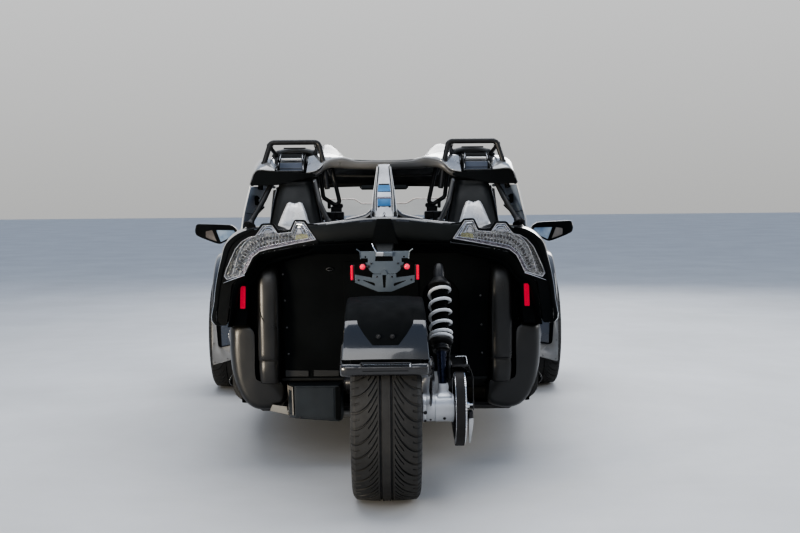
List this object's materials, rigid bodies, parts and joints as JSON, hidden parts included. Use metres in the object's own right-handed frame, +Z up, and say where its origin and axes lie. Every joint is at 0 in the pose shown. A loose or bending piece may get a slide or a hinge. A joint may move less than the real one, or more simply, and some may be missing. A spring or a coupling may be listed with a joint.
{
  "type": "three wheeled car",
  "caption": "Open two-seat three-wheeled car with steered front wheels, one belt-driven rear wheel, single-sided swingarm, roof panels and tubular roll hoops.",
  "frame": {"origin": "on the ground at the centre of the overall box", "axes": "+Y forward, +X to the car's right, +Z up"},
  "size_m": [1.9816, 3.79, 1.36],
  "materials": {
    "gloss_black": "high gloss black paint",
    "matte_black": "textured black plastic",
    "lining_black": "dark moulded panel",
    "tube_black": "satin black powder coat",
    "smoked_glass": "dark tinted sheet",
    "clear_lens": "clear and smoked lamp lens",
    "red_lens": "red reflector",
    "silver_alloy": "silver painted cast alloy",
    "black_alloy": "black cast alloy",
    "dark_steel": "dark steel",
    "disc_iron": "ground brake disc",
    "white_spring": "white coated spring steel",
    "plate_steel": "zinc plated blue-grey steel",
    "tyre": "tyre rubber",
    "belt_rubber": "toothed belt",
    "seat_vinyl": "black waterproof vinyl",
    "engine_alloy": "cast engine"
  },
  "bodies": {
    "chassis": {"floor_and_tunnel": "lining_black", "side_sills": "matte_black", "rear_bulkhead": "lining_black", "rear_deck": "gloss_black", "rear_corner_panels": "gloss_black", "rear_quarter_panels": "gloss_black", "tail_lamps": "clear_lens", "red_reflectors": "red_lens", "roof_tubes": "tube_black", "headrest_fairings": "matte_black", "roof_side_panels": "gloss_black", "roof_centre_panel": "gloss_black", "roof_side_windows": "smoked_glass", "centre_fin": "gloss_black", "seat_cushions": "seat_vinyl", "seat_backs": "seat_vinyl", "dashboard": "lining_black", "windscreen": "smoked_glass", "cowl_panels": "gloss_black", "bonnet": "gloss_black", "bonnet_side_panels": "gloss_black", "nose_panels": "matte_black", "radiator": "dark_steel", "front_wings": "gloss_black", "headlamps": "clear_lens", "door_mirrors": "gloss_black", "engine_block": "engine_alloy", "front_frame": "tube_black", "front_wishbones": "tube_black", "front_dampers": "dark_steel", "steering_rack": "dark_steel", "rear_swingarm": "silver_alloy", "rear_damper": "dark_steel", "rear_spring": "white_spring", "drive_belt": "belt_rubber", "front_pulley": "dark_steel", "belt_guard": "matte_black", "rear_mudguard": "gloss_black", "plate_bracket": "plate_steel", "silencer_box": "dark_steel"},
    "steering_wheel": {"steering_wheel": "seat_vinyl"},
    "left_knuckle": {"left_steering_knuckle": "black_alloy"},
    "right_knuckle": {"right_steering_knuckle": "black_alloy"},
    "left_front_wheel": {"left_front_tyre": "tyre", "left_front_rim": "black_alloy", "left_brake_disc": "disc_iron"},
    "right_front_wheel": {"right_front_tyre": "tyre", "right_front_rim": "black_alloy", "right_brake_disc": "disc_iron"},
    "rear_wheel": {"rear_tyre": "tyre", "rear_rim": "black_alloy", "rear_axle_pulley": "dark_steel"}
  },
  "joints": [
    {"name": "steering_wheel_turn", "type": "hinge", "parent": "chassis", "child": "steering_wheel", "pos_m": [-0.322, 0.06, 0.77], "axis": [0, -0.9063, 0.4226], "range_deg": [-480, 480]},
    {"name": "left_steer", "type": "hinge", "parent": "chassis", "child": "left_knuckle", "pos_m": [-0.82, 1.11, 0.328], "axis": [0, 0, 1], "range_deg": [-32, 32]},
    {"name": "right_steer", "type": "hinge", "parent": "chassis", "child": "right_knuckle", "pos_m": [0.82, 1.11, 0.328], "axis": [0, 0, 1], "range_deg": [-32, 32]},
    {"name": "left_front_roll", "type": "hinge", "parent": "left_knuckle", "child": "left_front_wheel", "pos_m": [-0.877, 1.11, 0.328], "axis": [1, 0, 0], "continuous": true},
    {"name": "right_front_roll", "type": "hinge", "parent": "right_knuckle", "child": "right_front_wheel", "pos_m": [0.877, 1.11, 0.328], "axis": [1, 0, 0], "continuous": true},
    {"name": "rear_roll", "type": "hinge", "parent": "chassis", "child": "rear_wheel", "pos_m": [0, -1.557, 0.338], "axis": [1, 0, 0], "continuous": true}
  ],
  "couplings": [
    {"joint": "left_steer", "follows": "steering_wheel_turn", "ratio": 0.0666},
    {"joint": "right_steer", "follows": "steering_wheel_turn", "ratio": 0.0666}
  ]
}
